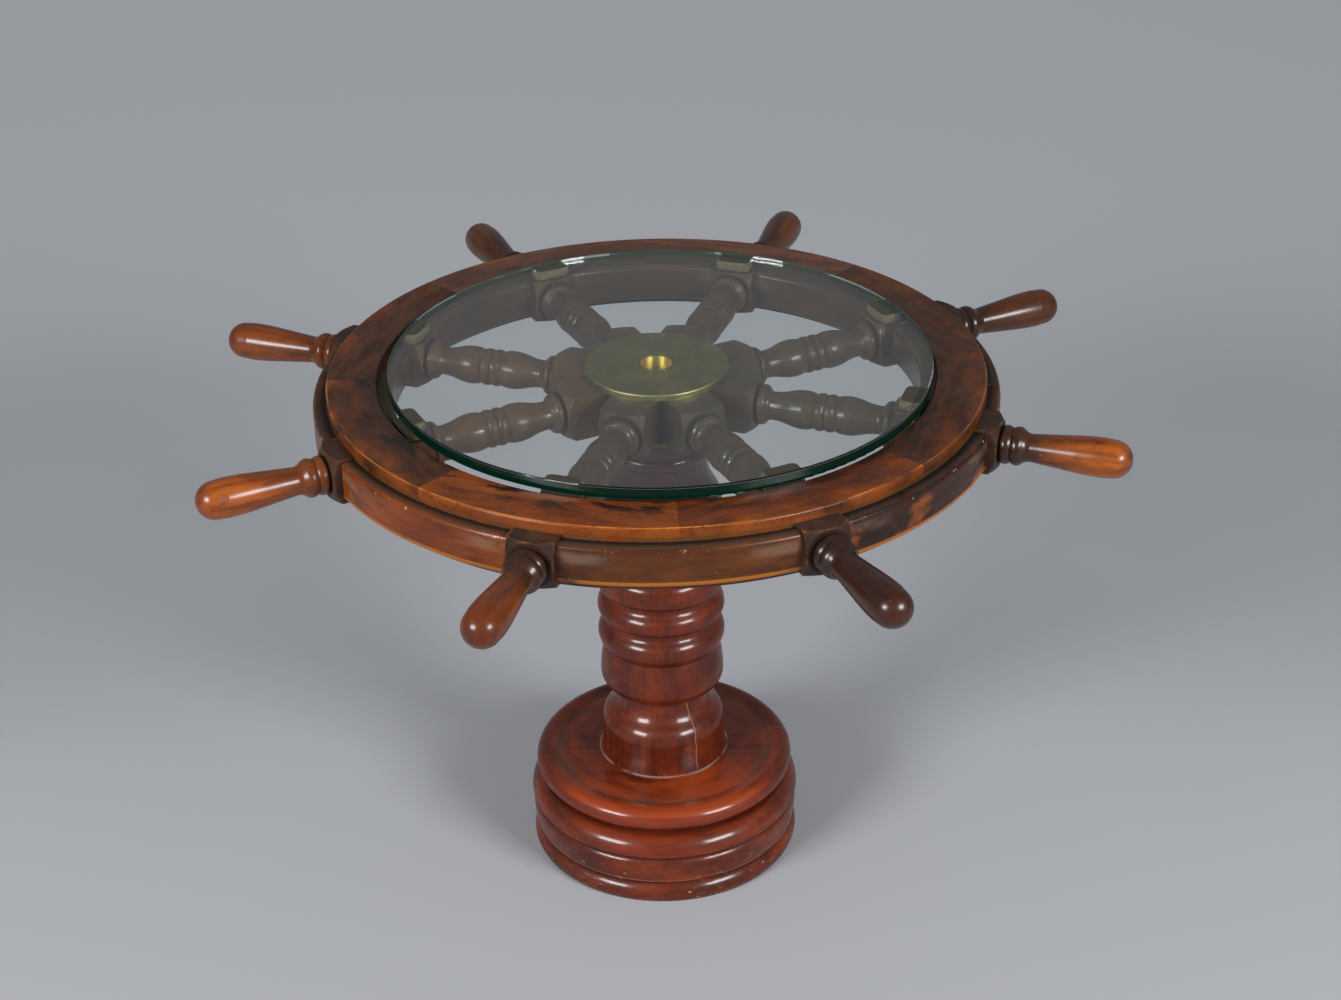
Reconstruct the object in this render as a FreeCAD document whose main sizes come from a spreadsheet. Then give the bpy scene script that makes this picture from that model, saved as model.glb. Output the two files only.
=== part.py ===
import FreeCAD, Part
import math
import operator
import os
import Sketcher

# A ship's wheel laid flat on a turned pedestal, with a loose glass disc in its rim, in millimetres.
# The origin is on the floor under the middle of the wheel, +Z is up, and the wheel's axis is Z.

doc = FreeCAD.newDocument("ship_wheel_table")
sheet = doc.addObject("Spreadsheet::Sheet", "Sizes")

SIZES = {
    # Wheel as a whole
    "spoke_count": 8,
    "wheel_radius": 475,
    "axis_height": 523.5,
    # Rim, from its outside to its inside
    "handle_length": 126.5,
    "block_overhang": 8.5,
    "felloe_width": 79,
    "felloe_thickness": 40,
    "felloe_round": 5,
    "block_inner_overhang": 16.5,
    "block_proud": 3,
    "facing_outer_ledge": 13.5,
    "facing_inner_ledge": 15,
    "top_facing_thickness": 13.5,
    "bottom_facing_thickness": 9.5,
    "facing_round": 2.5,
    "joint_clearance": 0.1,
    # Turned stretch of a spoke, the same from both of its square blocks
    "hub_block_radius": 106.5,
    "shoulder_length": 9,
    "spoke_bead_width": 10,
    "spoke_bead_radius": 20,
    "spoke_quirk_radius": 17,
    "spoke_neck_length": 5,
    "spoke_neck_radius": 14,
    "spoke_vase_radius": 19.2,
    "spoke_vase_fall": 11,
    "middle_bead_width": 10.3,
    "middle_bead_radius": 18.8,
    "middle_quirk_radius": 16.8,
    # Handle, from its block to its tip
    "collar_width": 11,
    "collar_radius": 19,
    "collar_quirk_radius": 16.8,
    "handle_neck_length": 7.5,
    "handle_neck_radius": 13.6,
    "grip_radius": 19.3,
    "grip_crest_length": 28,
    "grip_crest_run": 24,
    "grip_crest_rise": 1.2,
    "grip_tip_radius": 18.6,
    # Hub
    "hub_flange_radius": 72,
    "hub_flange_thickness": 6.5,
    "hub_flange_round": 2,
    "bush_bore_radius": 15.5,
    "bush_wall": 4,
    "spigot_clearance": 0.2,
    "spigot_drop": 19.5,
    # Fixings
    "dowel_radius": 6,
    "dowel_depth": 18,
    "facing_screw_angle": 14,
    "facing_screw_bite": 7,
    "screw_radius": 2.5,
    "screw_head_radius": 4.5,
    "screw_head_height": 3,
    "screw_length": 22,
    "flange_screw_edge": 6,
    "column_screw_count": 4,
    "column_screw_inset": 20,
    # Glass and its pads
    "glass_thickness": 12,
    "glass_round": 1.5,
    "glass_play": 6.5,
    "glass_seat_depth": 1,
    "pad_length": 24,
    "pad_width": 38,
    "pad_rim_gap": 2,
    # Pedestal column, from the base up
    "foot_radius": 67.6,
    "foot_flare_height": 20,
    "foot_waist_radius": 65,
    "foot_waist_height": 16,
    "foot_shoulder_height": 17.9,
    "foot_shoulder_drop": 8,
    "foot_cove_height": 20.9,
    "neck_radius": 47.7,
    "neck_height": 2.2,
    "drum_cove_height": 6.5,
    "drum_edge_radius": 56.2,
    "drum_low_height": 15.5,
    "drum_radius": 65,
    "drum_high_height": 34,
    "drum_top_radius": 60.5,
    "low_ring_under_height": 14.5,
    "ring_under_height": 10.5,
    "ring_radius": 66.5,
    "crown_band_height": 7,
    "ring_shoulder_height": 12,
    "ring_shoulder_drop": 5,
    "ring_cove_height": 9,
    "ring_groove_radius": 57.8,
    "vase_foot_height": 4,
    "vase_radius": 67,
    "vase_rise": 40,
    "vase_top_radius": 50,
    "capital_quirk_height": 6,
    "capital_bead_radius": 54,
    "capital_bead_height": 15,
    "capital_cove_height": 20,
    "capital_plate_height": 5,
    # Turned base: four mouldings from the floor up, each set in from the widest one, and a dished top
    "base_radius": 143.2,
    "bottom_bead_edge_inset": 3.4,
    "bottom_bead_rise": 6.5,
    "bottom_bead_inset": 0.7,
    "bottom_bead_round": 15.5,
    "bottom_bead_fall": 11.2,
    "bottom_bead_groove": 4,
    "low_torus_edge_inset": 2.9,
    "low_torus_rise": 19,
    "low_torus_inset": 1.2,
    "low_torus_round": 10,
    "low_torus_fall": 9.2,
    "low_torus_groove": 3,
    "high_torus_edge_inset": 0.7,
    "high_torus_rise": 2.5,
    "high_torus_round": 19.5,
    "high_torus_fall": 19.7,
    "high_torus_groove": 5.5,
    "top_bead_edge_inset": 17.2,
    "top_bead_rise": 11.3,
    "top_bead_inset": 6.2,
    "top_bead_round": 12,
    "top_bead_fall": 22.8,
    "base_dish_depth": 1.8,
    "base_valley_depth": 0.6,
    "base_valley_inset": 31.7,
    "base_flat_inset": 38.2,
    "base_underside_recess": 4,
    "base_foot_width": 28,
    # Tenon of the column in the base, and the bolt that draws it down
    "tenon_radius": 25,
    "tenon_length": 75,
    "tenon_clearance": 0.2,
    "bolt_radius": 5,
    "bolt_head_flats": 17,
    "bolt_head_height": 6.4,
    "bolt_bite": 44,
    "bolt_clearance": 0.15,
    "washer_radius": 20,
    "washer_thickness": 3,
    "base_floor_thickness": 13,
}
for row, (alias, number) in enumerate(SIZES.items(), start=1):
    sheet.set(f"A{row}", alias)
    sheet.set(f"B{row}", str(number))
    sheet.setAlias(f"B{row}", alias)
doc.recompute()


class Size:
    """A size as the number that it has now and the formula that gives it from the sheet."""

    def __init__(self, number, formula):
        self.number = number
        self.formula = formula

    def combined(self, sign, work, other):
        if not isinstance(other, Size):
            other = Size(other, f"{other}")
        return Size(work(self.number, other.number), f"({self.formula} {sign} {other.formula})")

    def __add__(self, other):
        return self.combined("+", operator.add, other)

    def __sub__(self, other):
        return self.combined("-", operator.sub, other)

    def __mul__(self, other):
        return self.combined("*", operator.mul, other)

    def __truediv__(self, other):
        return self.combined("/", operator.truediv, other)

    def __neg__(self):
        return self * -1

    def cosine(self):
        return Size(math.cos(math.radians(self.number)), f"cos({self.formula} * 1 deg)")

    def sine(self):
        return Size(math.sin(math.radians(self.number)), f"sin({self.formula} * 1 deg)")


def size(alias):
    return Size(float(sheet.get(alias)), f"Sizes.{alias}")


ZERO = Size(0.0, "0")
FULL_TURN = Size(360.0, "360")

# Sizes that follow from the sheet
spoke_count = size("spoke_count")
spokes = range(int(spoke_count.number))
pitch = FULL_TURN / spoke_count
half_pitch = pitch / 2
axis_height = size("axis_height")

block_square = size("felloe_thickness") + size("block_proud") * 2
block_half = block_square / 2
block_end = size("wheel_radius") - size("handle_length")
felloe_outer = block_end - size("block_overhang")
felloe_inner = felloe_outer - size("felloe_width")
felloe_half = size("felloe_thickness") / 2
block_start = felloe_inner - size("block_inner_overhang")
facing_outer = felloe_outer - size("facing_outer_ledge")
facing_inner = felloe_inner + size("facing_inner_ledge")
facing_middle = (facing_outer + facing_inner) / 2
facing_top = felloe_half + size("top_facing_thickness")
facing_bottom = -(felloe_half + size("bottom_facing_thickness"))

bush_outer = size("bush_bore_radius") + size("bush_wall")
hub_bore = bush_outer + size("joint_clearance")
flange_face = block_half + size("hub_flange_thickness")
flange_screw_radius = size("hub_flange_radius") - size("flange_screw_edge")
capital_radius = flange_screw_radius - size("flange_screw_edge")
column_screw_radius = capital_radius - size("column_screw_inset")
screw_hole_radius = size("screw_radius") + size("joint_clearance")
screw_recess_radius = size("screw_head_radius") + size("joint_clearance")

glass_bottom = facing_top - size("glass_seat_depth")
glass_radius = facing_inner - size("glass_play")
base_crest = (size("bottom_bead_rise") + size("bottom_bead_round") + size("bottom_bead_groove")
              + size("low_torus_rise") + size("low_torus_round") + size("low_torus_groove")
              + size("high_torus_rise") + size("high_torus_round") + size("high_torus_groove")
              + size("top_bead_rise") + size("top_bead_round"))
base_seat = base_crest - size("base_dish_depth")
column_top = axis_height - flange_face
spigot_top = axis_height + flange_face - size("spigot_drop")
tenon_bottom = base_seat - size("tenon_length")
mortise_bottom = tenon_bottom - size("joint_clearance")
washer_top = mortise_bottom - size("base_floor_thickness")
bolt_top = tenon_bottom + size("bolt_bite")

# How an outline goes from one corner to the next: straight, or on an arc that runs along the turning
# axis at the corner it leaves or at the corner it reaches
LINE = "line"
LEAVES_LEVEL = "leaves level"
REACHES_LEVEL = "reaches level"


def new_body(node):
    body = doc.addObject("PartDesign::Body", node)
    body.Label = node
    return body


def new_sketch(body, name, role):
    sketch = body.newObject("Sketcher::SketchObject", name)
    plane = next(feature for feature in body.Origin.OriginFeatures if feature.Role == role)
    sketch.AttachmentSupport = (plane, [""])
    sketch.MapMode = "FlatFace"
    return sketch


def fix_point(sketch, geometry, position, x, y):
    for kind, length in (("DistanceX", x), ("DistanceY", y)):
        index = sketch.addConstraint(Sketcher.Constraint(kind, -1, 1, geometry, position, length.number))
        sketch.setExpression(f"Constraints[{index}]", length.formula)


def level_arc(start, end, level, upright):
    """The arc from start to end whose tangent at the corner 'level' runs along the turning axis."""
    other = end if level is start else start
    step = other - level
    along, across = (step.y, step.x) if upright else (step.x, step.y)
    reach = (along * along + across * across) / (2 * across)
    centre = level + (FreeCAD.Vector(reach, 0, 0) if upright else FreeCAD.Vector(0, reach, 0))
    from_angle = math.atan2(start.y - centre.y, start.x - centre.x)
    to_angle = math.atan2(end.y - centre.y, end.x - centre.x)
    forward = (to_angle - from_angle) % (2 * math.pi) < math.pi
    angles = (from_angle, to_angle) if forward else (to_angle, from_angle)
    circle = Part.Circle(centre, FreeCAD.Vector(0, 0, 1), abs(reach))
    return Part.ArcOfCircle(circle, *angles), forward


def draw_outline(sketch, corners, upright=False):
    """Close an outline through (along, radius, span) corners; upright ones stand along the sketch's Y."""
    places = [(radius, along) if upright else (along, radius) for along, radius, _ in corners]
    points = [FreeCAD.Vector(x.number, y.number, 0) for x, y in places]
    ends = []
    for index, (_, _, span) in enumerate(corners):
        start = points[index]
        end = points[(index + 1) % len(points)]
        if span == LINE:
            geometry = sketch.addGeometry(Part.LineSegment(start, end))
            forward = True
        else:
            level = start if span == LEAVES_LEVEL else end
            arc, forward = level_arc(start, end, level, upright)
            geometry = sketch.addGeometry(arc)
        ends.append((geometry, 1, 2) if forward else (geometry, 2, 1))
    for index, (geometry, _, last) in enumerate(ends):
        following, begin, _ = ends[(index + 1) % len(ends)]
        sketch.addConstraint(Sketcher.Constraint("Coincident", geometry, last, following, begin))
    for (geometry, first, _), (x, y) in zip(ends, places):
        fix_point(sketch, geometry, first, x, y)
    level_kind = "Horizontal" if upright else "Vertical"
    for (geometry, first, last), (_, _, span) in zip(ends, corners):
        if span != LINE:
            position = first if span == LEAVES_LEVEL else last
            sketch.addConstraint(Sketcher.Constraint(level_kind, geometry, 3, geometry, position))


def draw_circle(sketch, x, y, radius):
    centre = FreeCAD.Vector(x.number, y.number, 0)
    geometry = sketch.addGeometry(Part.Circle(centre, FreeCAD.Vector(0, 0, 1), radius.number))
    fix_point(sketch, geometry, 3, x, y)
    index = sketch.addConstraint(Sketcher.Constraint("Radius", geometry, radius.number))
    sketch.setExpression(f"Constraints[{index}]", radius.formula)


def draw_rectangle(sketch, low_x, low_y, high_x, high_y):
    draw_outline(sketch, [(low_x, low_y, LINE), (high_x, low_y, LINE),
                          (high_x, high_y, LINE), (low_x, high_y, LINE)])


def raise_sketch(sketch, height):
    """Set a sketch on its plane at a height along the plane's normal."""
    sketch.AttachmentOffset = FreeCAD.Placement(FreeCAD.Vector(0, 0, height.number), FreeCAD.Rotation())
    sketch.setExpression("AttachmentOffset.Base.z", height.formula)


def extrude(body, kind, sketch, length, both_ways=False, downwards=False):
    """A pad or a pocket of a sketch; a pocket goes against the sketch's normal unless it is turned round."""
    feature = body.newObject(f"PartDesign::{kind}", f"{sketch.Name}_{kind.lower()}")
    feature.Profile = sketch
    feature.setExpression("Length", length.formula)
    feature.Midplane = both_ways
    feature.Reversed = downwards if kind == "Pad" else not downwards
    return feature


def turn(body, kind, sketch, axis, angle=FULL_TURN, both_ways=False):
    """A revolution or a groove of a sketch about one of its own axes."""
    feature = body.newObject(f"PartDesign::{kind}", f"{sketch.Name}_{kind.lower()}")
    feature.Profile = sketch
    feature.ReferenceAxis = (sketch, [axis])
    feature.setExpression("Angle", angle.formula)
    feature.Midplane = both_ways
    return feature


def repeat_round(body, features, sketch, count, angle=FULL_TURN):
    """Repeat features round the Z axis, which is the normal of an XY sketch, and make that the body's end."""
    pattern = body.newObject("PartDesign::PolarPattern", f"{sketch.Name}_pattern")
    pattern.Originals = features
    pattern.Axis = (sketch, ["N_Axis"])
    pattern.setExpression("Angle", angle.formula)
    pattern.setExpression("Occurrences", count.formula)
    body.Tip = pattern
    return pattern


def place(body, height, angle=0.0):
    body.Placement = FreeCAD.Placement(
        FreeCAD.Vector(0, 0, height.number), FreeCAD.Rotation(FreeCAD.Vector(0, 0, 1), angle))
    body.setExpression("Placement.Base.z", height.formula)


def spoke_angle(index):
    """Spokes stand half a pitch either side of the X and Y axes."""
    return half_pitch.number + index * pitch.number


def turned_spoke_corners():
    """The turned stretch of a spoke from its hub block to its rim block, mirrored about its middle."""
    first = size("hub_block_radius")
    middle = (first + block_start) / 2
    bead_end = first + size("spoke_bead_width")
    bead_top = first + size("spoke_bead_width") / 2
    neck = bead_end + size("spoke_neck_length")
    quirk = middle - size("middle_bead_width")
    vase = quirk - size("spoke_vase_fall")
    swell = (neck + vase) / 2
    swell_radius = (size("spoke_neck_radius") + size("spoke_vase_radius")) / 2
    half = [
        (first, size("spoke_quirk_radius"), REACHES_LEVEL),
        (bead_top, size("spoke_bead_radius"), LEAVES_LEVEL),
        (bead_end, size("spoke_quirk_radius"), REACHES_LEVEL),
        (neck, size("spoke_neck_radius"), LEAVES_LEVEL),
        (swell, swell_radius, REACHES_LEVEL),
        (vase, size("spoke_vase_radius"), LEAVES_LEVEL),
        (quirk, size("middle_quirk_radius"), REACHES_LEVEL),
        (middle - size("middle_bead_width") / 2, size("middle_bead_radius"), LEAVES_LEVEL),
        (middle, size("middle_quirk_radius"), REACHES_LEVEL),
    ]
    turned_span = {LEAVES_LEVEL: REACHES_LEVEL, REACHES_LEVEL: LEAVES_LEVEL}
    mirrored = [(middle * 2 - along, radius, turned_span[span_before])
                for (along, radius, _), (_, _, span_before) in zip(half[-2::-1], half[-3::-1] + half[:1])]
    mirrored[-1] = mirrored[-1][:2] + (LINE,)
    return [(first, ZERO, LINE)] + half + mirrored + [(block_start, ZERO, LINE)]


def handle_corners():
    """Two collar beads, a neck and a swelling grip with a round tip."""
    tip = size("wheel_radius")
    collar = size("collar_width")
    neck = block_end + collar * 2 + size("handle_neck_length")
    crest = tip - size("grip_crest_length")
    beads = []
    for start in (block_end, block_end + collar):
        beads.append((start, size("collar_quirk_radius"), REACHES_LEVEL))
        beads.append((start + collar / 2, size("collar_radius"), LEAVES_LEVEL))
    return [(block_end, ZERO, LINE)] + beads + [
        (block_end + collar * 2, size("collar_quirk_radius"), REACHES_LEVEL),
        (neck, size("handle_neck_radius"), LINE),
        (crest - size("grip_crest_run"), size("grip_radius") - size("grip_crest_rise"), REACHES_LEVEL),
        (crest, size("grip_radius"), LINE),
        (tip - size("grip_tip_radius"), size("grip_tip_radius"), LEAVES_LEVEL),
        (tip, ZERO, LINE),
    ]


def make_spoke(index):
    """One stick from the hub to the tip of its handle: wedge, square block, turning, square block, handle."""
    body = new_body(f"spoke_{index + 1}")
    hub_end = size("hub_block_radius")
    wedge = Size(block_half.number / math.tan(math.radians(half_pitch.number)),
                 f"({block_half.formula} / tan({half_pitch.formula} * 1 deg))")
    hub_block = new_sketch(body, f"{body.Name}_hub_block", "XY_Plane")
    draw_outline(hub_block, [(ZERO, ZERO, LINE), (wedge, -block_half, LINE), (hub_end, -block_half, LINE),
                             (hub_end, block_half, LINE), (wedge, block_half, LINE)])
    extrude(body, "Pad", hub_block, block_square, both_ways=True)
    bore = new_sketch(body, f"{body.Name}_bore", "XY_Plane")
    draw_circle(bore, ZERO, ZERO, hub_bore)
    extrude(body, "Pocket", bore, block_square * 2, both_ways=True)

    turning = new_sketch(body, f"{body.Name}_turning", "XY_Plane")
    draw_outline(turning, turned_spoke_corners())
    turn(body, "Revolution", turning, "H_Axis")
    rim_block = new_sketch(body, f"{body.Name}_rim_block", "XY_Plane")
    draw_rectangle(rim_block, block_start, -block_half, block_end, block_half)
    extrude(body, "Pad", rim_block, block_square, both_ways=True)
    handle = new_sketch(body, f"{body.Name}_handle", "XY_Plane")
    draw_outline(handle, handle_corners())
    turn(body, "Revolution", handle, "H_Axis")

    # The lathe takes the corners off each square end, which leaves an arch on each face
    shoulders = new_sketch(body, f"{body.Name}_shoulders", "XY_Plane")
    corner_radius = block_half * 1.5
    length = size("shoulder_length")
    for end, inward in ((hub_end, -length), (block_start, length), (block_end, -length)):
        draw_outline(shoulders, [(end, block_half, LINE), (end, corner_radius, LINE),
                                 (end + inward, corner_radius, LINE)])
    turn(body, "Groove", shoulders, "H_Axis")

    dowel = new_sketch(body, f"{body.Name}_dowel_hole", "XZ_Plane")
    draw_circle(dowel, facing_middle, ZERO, size("dowel_radius") + size("joint_clearance"))
    extrude(body, "Pocket", dowel, block_square * 2, both_ways=True)
    pilot = new_sketch(body, f"{body.Name}_pilot", "XY_Plane")
    raise_sketch(pilot, -block_half)
    draw_circle(pilot, flange_screw_radius, ZERO, screw_hole_radius)
    extrude(body, "Pocket", pilot, size("screw_length"))
    place(body, axis_height, spoke_angle(index))
    return body


def round_rim_corners(low, high, inner, outer, bottom_round, top_round):
    """A rim section from its inner bottom, with rounded corners where a round is given."""
    corners = []
    if bottom_round is None:
        corners += [(inner, low, LINE), (outer, low, LINE)]
    else:
        corners += [(inner, low + bottom_round, REACHES_LEVEL), (inner + bottom_round, low, LINE),
                    (outer - bottom_round, low, LEAVES_LEVEL), (outer, low + bottom_round, LINE)]
    if top_round is None:
        corners += [(outer, high, LINE), (inner, high, LINE)]
    else:
        corners += [(outer, high - top_round, REACHES_LEVEL), (outer - top_round, high, LINE),
                    (inner + top_round, high, LEAVES_LEVEL), (inner, high - top_round, LINE)]
    return corners


def screw_places():
    """The two facing screws of one segment, either side of its spoke."""
    angle = size("facing_screw_angle")
    x = facing_middle * angle.cosine()
    y = facing_middle * angle.sine()
    return [(x, y), (x, -y)]


def make_felloe(index):
    """A rim block between two spokes, cut to their sides and bored for their dowels and the facing screws."""
    body = new_body(f"felloe_{index + 1}")
    section = new_sketch(body, f"{body.Name}_section", "XZ_Plane")
    rounding = size("felloe_round")
    draw_outline(section, round_rim_corners(-felloe_half, felloe_half, felloe_inner, felloe_outer,
                                            rounding, rounding))
    turn(body, "Revolution", section, "V_Axis", pitch)
    notch = new_sketch(body, f"{body.Name}_notch", "XY_Plane")
    draw_rectangle(notch, felloe_inner - rounding, -block_half, felloe_outer + rounding, block_half)
    notch_cut = extrude(body, "Pocket", notch, size("felloe_thickness") * 2, both_ways=True)
    dowel = new_sketch(body, f"{body.Name}_dowel_hole", "XZ_Plane")
    draw_circle(dowel, facing_middle, ZERO, size("dowel_radius") + size("joint_clearance"))
    depth = block_square + size("dowel_depth") * 2 + size("joint_clearance") * 2
    dowel_cut = extrude(body, "Pocket", dowel, depth, both_ways=True)
    holes = new_sketch(body, f"{body.Name}_screw_holes", "XY_Plane")
    for x, y in screw_places():
        draw_circle(holes, x, y, screw_hole_radius)
    holes_cut = extrude(body, "Pocket", holes, size("felloe_thickness") * 2, both_ways=True)
    repeat_round(body, [notch_cut, dowel_cut, holes_cut], notch, Size(2, "2"), pitch)
    place(body, axis_height, spoke_angle(index))
    return body


def make_facing(index, name, low, high, bottom_round, top_round, seat, screw_depth, recess):
    """A facing segment centred on a spoke: notched over its block, bored for two screws."""
    body = new_body(f"{name}_{index + 1}")
    section = new_sketch(body, f"{body.Name}_section", "XZ_Plane")
    draw_outline(section, round_rim_corners(low, high, facing_inner, facing_outer, bottom_round, top_round))
    turn(body, "Revolution", section, "V_Axis", pitch, both_ways=True)
    upwards = seat.number > 0
    notch = new_sketch(body, f"{body.Name}_notch", "XY_Plane")
    raise_sketch(notch, seat)
    draw_rectangle(notch, facing_inner - size("facing_round"), -block_half - size("joint_clearance"),
                   facing_outer + size("facing_round"), block_half + size("joint_clearance"))
    extrude(body, "Pocket", notch, size("block_proud"), downwards=not upwards)
    holes = new_sketch(body, f"{body.Name}_screw_holes", "XY_Plane")
    raise_sketch(holes, seat)
    for x, y in screw_places():
        draw_circle(holes, x, y, screw_hole_radius)
    extrude(body, "Pocket", holes, screw_depth, downwards=not upwards)
    if recess:
        heads = new_sketch(body, f"{body.Name}_screw_heads", "XY_Plane")
        raise_sketch(heads, low)
        for x, y in screw_places():
            draw_circle(heads, x, y, screw_recess_radius)
        extrude(body, "Pocket", heads, size("screw_head_height"))
    place(body, axis_height, spoke_angle(index))
    return body


def make_pad(index):
    """A pad on the inner end of a spoke's rim block, which carries the glass."""
    body = new_body(f"glass_pad_{index + 1}")
    outline = new_sketch(body, f"{body.Name}_outline", "XY_Plane")
    end = facing_inner - size("pad_rim_gap")
    half_width = size("pad_width") / 2
    draw_rectangle(outline, end - size("pad_length"), -half_width, end, half_width)
    extrude(body, "Pad", outline, glass_bottom - block_half)
    place(body, axis_height + block_half, spoke_angle(index))
    return body


def make_glass():
    """A disc with ground edges, lying a little to one side in the rim's opening."""
    body = new_body("glass_top")
    section = new_sketch(body, "glass_section", "XZ_Plane")
    thickness = size("glass_thickness")
    rounding = size("glass_round")
    draw_outline(section, [
        (ZERO, ZERO, LINE), (glass_radius - rounding, ZERO, LEAVES_LEVEL), (glass_radius, rounding, LINE),
        (glass_radius, thickness - rounding, REACHES_LEVEL), (glass_radius - rounding, thickness, LINE),
        (ZERO, thickness, LINE)])
    turn(body, "Revolution", section, "V_Axis")
    place(body, axis_height + glass_bottom)
    aside = size("glass_play") * 0.6
    towards = size("glass_play") * -0.5
    body.setExpression("Placement.Base.x", aside.formula)
    body.setExpression("Placement.Base.y", towards.formula)
    return body


def make_flange(name, upper):
    """A brass plate over the butts of the spokes; the lower one is bored for the fixing screws."""
    body = new_body(name)
    section = new_sketch(body, f"{name}_section", "XZ_Plane")
    rounding = size("hub_flange_round")
    outer = size("hub_flange_radius")
    face = flange_face if upper else -flange_face
    seat = block_half if upper else -block_half
    edge = face - rounding if upper else face + rounding
    draw_outline(section, [(hub_bore, seat, LINE), (outer, seat, LINE), (outer, edge, REACHES_LEVEL),
                           (outer - rounding, face, LINE), (hub_bore, face, LINE)])
    turn(body, "Revolution", section, "V_Axis")
    if not upper:
        through = size("hub_flange_thickness")
        head = size("screw_head_height")
        for radius, count, level, sinks in ((flange_screw_radius, spoke_count, face, False),
                                            (column_screw_radius, size("column_screw_count"), seat, True)):
            tag = "column" if sinks else "spoke"
            hole = new_sketch(body, f"{name}_{tag}_hole", "XY_Plane")
            raise_sketch(hole, level)
            draw_circle(hole, radius * half_pitch.cosine(), radius * half_pitch.sine(), screw_hole_radius)
            hole_cut = extrude(body, "Pocket", hole, through, downwards=sinks)
            recess = new_sketch(body, f"{name}_{tag}_recess", "XY_Plane")
            raise_sketch(recess, level)
            draw_circle(recess, radius * half_pitch.cosine(), radius * half_pitch.sine(), screw_recess_radius)
            recess_cut = extrude(body, "Pocket", recess, head, downwards=sinks)
            repeat_round(body, [hole_cut, recess_cut], hole, count)
    place(body, axis_height)
    return body


def make_bush():
    """The brass sleeve through both flanges, which turns the old axle hole into a socket."""
    body = new_body("hub_bush")
    ring = new_sketch(body, "bush_section", "XZ_Plane")
    draw_rectangle(ring, size("bush_bore_radius"), -flange_face, bush_outer, flange_face)
    turn(body, "Revolution", ring, "V_Axis")
    place(body, axis_height)
    return body


def make_screws(node, places, count, level, length, downwards):
    """A ring of round-headed screws whose heads lie flush at a level and whose shanks go into the work."""
    body = new_body(node)
    body.AllowCompound = True
    heads = new_sketch(body, f"{node}_heads", "XY_Plane")
    raise_sketch(heads, level)
    shanks = new_sketch(body, f"{node}_shanks", "XY_Plane")
    raise_sketch(shanks, level)
    for x, y in places:
        draw_circle(heads, x, y, size("screw_head_radius"))
        draw_circle(shanks, x, y, size("screw_radius"))
    head = extrude(body, "Pad", heads, size("screw_head_height"), downwards=downwards)
    shank = extrude(body, "Pad", shanks, length, downwards=downwards)
    repeat_round(body, [head, shank], heads, count)
    place(body, axis_height)
    return body


def make_dowels():
    """One dowel through each spoke's block into the felloes on both sides."""
    body = new_body("felloe_dowels")
    body.AllowCompound = True
    circle = new_sketch(body, "dowel_circle", "XZ_Plane")
    draw_circle(circle, facing_middle, ZERO, size("dowel_radius"))
    dowel = extrude(body, "Pad", circle, block_square + size("dowel_depth") * 2, both_ways=True)
    axis = new_sketch(body, "dowel_axis", "XY_Plane")
    draw_circle(axis, ZERO, ZERO, hub_bore)
    repeat_round(body, [dowel], axis, spoke_count)
    place(body, axis_height, half_pitch.number)
    return body


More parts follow.
